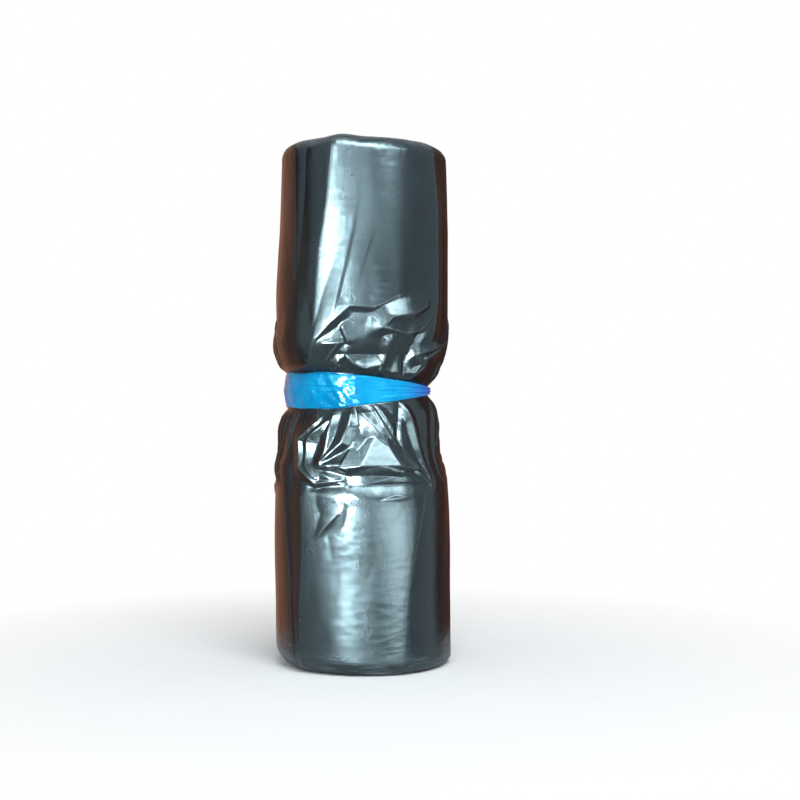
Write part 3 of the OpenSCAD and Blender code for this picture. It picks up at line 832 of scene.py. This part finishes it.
def black_film(wear):
    """Thin black film: dark and glossy with a cool cast, with a painted highlight along sharp folds, rubbed
    at the rims.
    """
    material, n = new_material("black film")
    worn = worn_film(n, wear, 320.0, 0.35, 0.5)
    haze = n.ramp(worn["Haze"], 0.35, 0.7)
    body = n.blend(haze, (0.001, 0.003, 0.006, 1), (0.002, 0.006, 0.010, 1))
    # Painted highlight: the base colour is lightened along the fold crests.
    folded = n.blend(n.math("MULTIPLY", n.attribute("crest_highlight"), 0.12), body, (0.16, 0.20, 0.21, 1))
    rim = n.attribute("rim")
    streaks = n.noise(n.scaled(n.object_place(), (1.0, 1.0, 9.0)), 60.0, 4.0, 0.6)
    rubbed = n.math("MULTIPLY", rim, n.ramp(streaks, 0.48, 0.68))
    worn_rim = n.blend(n.math("MULTIPLY", rubbed, 0.5), folded, (0.20, 0.26, 0.28, 1))
    dusty = n.blend(worn["Dust"], worn_rim, GREY_DUST)
    rough = n.math("MULTIPLY_ADD", rim, 0.22, n.ramp(worn["Haze"], 0.3, 0.7, 0.20, 0.30))
    end_film(n, dusty, rough, BLACK_TINT, worn["Height"], 0.5, 0.00018)
    return material


def film_edges(wear):
    """The edges of the rolled film: fine lines along each turn."""
    material, n = new_material("film edges")
    worn = worn_film(n, wear, 500.0, 1.0, 0.3)
    uv = n.add("ShaderNodeUVMap", uv_map="edges").outputs[0]
    lines = n.noise(n.scaled(uv, (2600.0, 60.0, 1.0)), 1.0, 3.0, 0.6)
    colour = n.blend(n.ramp(lines, 0.35, 0.7), (0.004, 0.006, 0.008, 1), (0.03, 0.042, 0.047, 1))
    dusty = n.blend(worn["Dust"], colour, GREY_DUST)
    rough = n.ramp(lines, 0.3, 0.7, 0.42, 0.28)
    height = n.math("MULTIPLY_ADD", worn["Height"], 0.3, lines)
    end_film(n, dusty, rough, BLACK_TINT, height, 0.9, 0.0005)
    return material


def blue_film(wear):
    """Blue film: bright where it lies flat, deeper, duller and more violet where it is gathered, violet on
    its lower left front as a painted reflection.
    """
    material, n = new_material("blue film")
    worn = worn_film(n, wear, 420.0, 1.0, 0.2)
    gathered = n.attribute("gathered")
    # The violet attribute is partly the gathered film's own tint and partly a painted reflection on the
    # strip's lower left.
    violet = n.math("MULTIPLY", n.attribute("violet"), 0.7, clamp=True)
    thin = n.blend(n.ramp(worn["Haze"], 0.35, 0.68), (0.0, 0.26, 0.60, 1), (0.0, 0.40, 0.80, 1))
    doubled = n.blend(n.ramp(gathered, 0.55, 1.0, 0.0, 0.8), thin, (0.0, 0.17, 0.70, 1))
    colour = n.blend(violet, doubled, (0.11, 0.12, 0.55, 1))
    dusty = n.blend(worn["Dust"], colour, BLUE_DUST)
    smooth = n.ramp(worn["Haze"], 0.3, 0.7, 0.07, 0.15)
    rough = n.math("ADD", smooth, n.ramp(gathered, 0.25, 0.7, 0.0, 0.28))
    end_film(n, dusty, rough, BLUE_TINT, worn["Height"], 0.5, 0.0002, 0.45)
    return material


def dress(piece, material):
    """Gives a piece its material and slot, and lets it ride on the one body."""
    piece.data.materials.clear()
    piece.data.materials.append(material)
    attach(piece, "root")


def way_out(azimuth, elevation):
    """The direction from the roll towards an azimuth from the front and an elevation, in degrees."""
    a, e = math.radians(azimuth), math.radians(elevation)
    return Vector((math.sin(a) * math.cos(e), -math.cos(a) * math.cos(e), math.sin(e)))


def add_camera():
    """The view of the photograph: level, square to the roll and a little to its right."""
    data = bpy.data.cameras.new("camera")
    data.sensor_width = 36
    data.lens = LENS
    data.clip_start = 0.01
    data.clip_end = 50
    camera = bpy.data.objects.new("camera", data)
    bpy.context.scene.collection.objects.link(camera)
    camera.location = CAMERA_PLACE
    camera.rotation_euler = (math.radians(90), 0, 0)
    bpy.context.scene.camera = camera


def add_light(name, azimuth, elevation, distance, size, power, colour):
    """A soft box that faces the middle of the roll."""
    data = bpy.data.lights.new(name, "AREA")
    data.shape = "RECTANGLE"
    data.size, data.size_y = size
    data.energy = power
    data.color = colour
    light = bpy.data.objects.new(name, data)
    out = way_out(azimuth, elevation)
    light.location = AIM + out * distance
    light.rotation_euler = (-out).to_track_quat("-Z", "Y").to_euler()
    bpy.context.scene.collection.objects.link(light)


def add_panel(name, azimuth, elevation, distance, size, colour, strength, soft):
    """A panel that shows only in the film's reflections; soft fades it out towards its rim."""
    out = way_out(azimuth, elevation)
    bpy.ops.object.select_all(action="DESELECT")
    bpy.ops.mesh.primitive_plane_add(size=1, location=AIM + out * distance,
                                     rotation=(-out).to_track_quat("Z", "Y").to_euler())
    panel = bpy.context.object
    panel.name = name
    panel.scale = (*size, 1)
    bpy.ops.object.transform_apply(location=True, rotation=True, scale=True)
    material, n = new_material(name)
    uv = n.add("ShaderNodeUVMap", uv_map="UVMap").outputs[0]
    middle = (0.5, 0.5, 0.0)
    away = n.add("ShaderNodeVectorMath", {0: uv, 1: middle}, operation="DISTANCE").outputs["Value"]
    fade = {0: away, 1: 0.5 - soft, 2: 0.5, 3: strength, 4: 0.0}
    glow = n.add("ShaderNodeMapRange", fade, interpolation_type="SMOOTHSTEP").outputs[0]
    n.end(n.add("ShaderNodeEmission", {"Color": colour, "Strength": glow}))
    panel.data.materials.append(material)
    panel.visible_camera = False
    panel.visible_diffuse = False
    panel.visible_shadow = False
    panel.visible_transmission = False


def add_world():
    """A white background for the camera and in reflections, which lights the roll at a plain level."""
    world = bpy.data.worlds.new("studio")
    bpy.context.scene.world = world
    world.use_nodes = True
    world.node_tree.nodes.clear()
    n = Nodes(world.node_tree)
    path = n.add("ShaderNodeLightPath").outputs
    mirrored = n.math("MAXIMUM", path["Is Camera Ray"], path["Is Glossy Ray"])
    seen = n.math("MAXIMUM", mirrored, path["Is Transmission Ray"])
    strength = n.ramp(seen, 0, 1, WORLD_LIGHT, 1.0)
    background = n.add("ShaderNodeBackground", {"Color": WHITE, "Strength": strength})
    n.end(background, "ShaderNodeOutputWorld")


def add_floor():
    """A pale floor that fades into the white background, for the camera and in reflections."""
    bpy.ops.object.select_all(action="DESELECT")
    bpy.ops.mesh.primitive_circle_add(vertices=96, radius=FLOOR_RADIUS, fill_type="NGON",
                                      location=(0, 0, -FLOOR_DROP))
    floor = bpy.context.object
    floor.name = "floor"
    bpy.ops.object.transform_apply(location=True, rotation=False, scale=False)
    material, n = new_material("pale floor")
    place = n.object_place()
    away = n.add("ShaderNodeVectorMath", {0: place}, operation="LENGTH").outputs["Value"]
    pale = n.blend(n.noise(place, 60.0, 3.0), (0.88, 0.89, 0.90, 1), (0.92, 0.93, 0.94, 1))
    matt = n.add("ShaderNodeBsdfDiffuse", {"Color": pale})
    white = n.add("ShaderNodeEmission", {"Color": WHITE, "Strength": 1.0})
    path = n.add("ShaderNodeLightPath").outputs
    fade = n.math("MULTIPLY", n.ramp(away, 0.07, 0.34), path["Is Camera Ray"])
    faded = n.add("ShaderNodeMixShader", {0: fade, 1: matt.outputs[0], 2: white.outputs[0]})
    gone = n.math("MULTIPLY", n.ramp(away, 0.07, 0.16), path["Is Glossy Ray"])
    unseen = n.add("ShaderNodeBsdfTransparent")
    n.end(n.add("ShaderNodeMixShader", {0: gone, 1: faded.outputs[0], 2: unseen.outputs[0]}))
    floor.data.materials.append(material)


def add_roll(black, edges):
    """The rolled bags: the outermost film in two halves, and the two ends."""
    waist = WAIST_HEIGHT / ROLL_LENGTH
    top_rim, foot_rim = rim_steps(TOP_CURL), rim_steps(FOOT_CURL + FOOT_CRUSH)
    above = spread([waist, 0.70, 1 - top_rim[-1]], [185, 60])
    below = spread([foot_rim[-1], 0.27, waist], [48, 222])
    halves = [("upper_film", np.concatenate([above[:-1], 1 - top_rim[::-1]])),
              ("lower_film", np.concatenate([foot_rim[:-1], below]))]
    for name, heights in halves:
        film = make_film(name, heights)
        dress(film, black)
        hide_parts("bag_roll")
    for name, upper, rows in (("upper_end", True, 130), ("lower_end", False, 80)):
        dress(make_end(name, upper, rows), edges)


def add_tie(blue):
    """The strip of blue film, its knot and its two loose ends."""
    strip = make_strip()
    dress(strip, blue)
    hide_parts("tie_band")
    for part in make_knot():
        dress(part, blue)
    for name, side in (("upper_tail", 1), ("lower_tail", -1)):
        dress(make_tail(name, side), blue)


add_camera()
film_wear = film_wear_group()
add_roll(black_film(film_wear), film_edges(film_wear))
add_tie(blue_film(film_wear))
add_world()
add_floor()
add_light("key", 15, 48, 1.3, (0.8, 0.6), 12, (0.92, 0.98, 1.0))
for row in PANELS:
    add_panel(*row)
bpy.context.scene.view_settings.view_transform = "Standard"
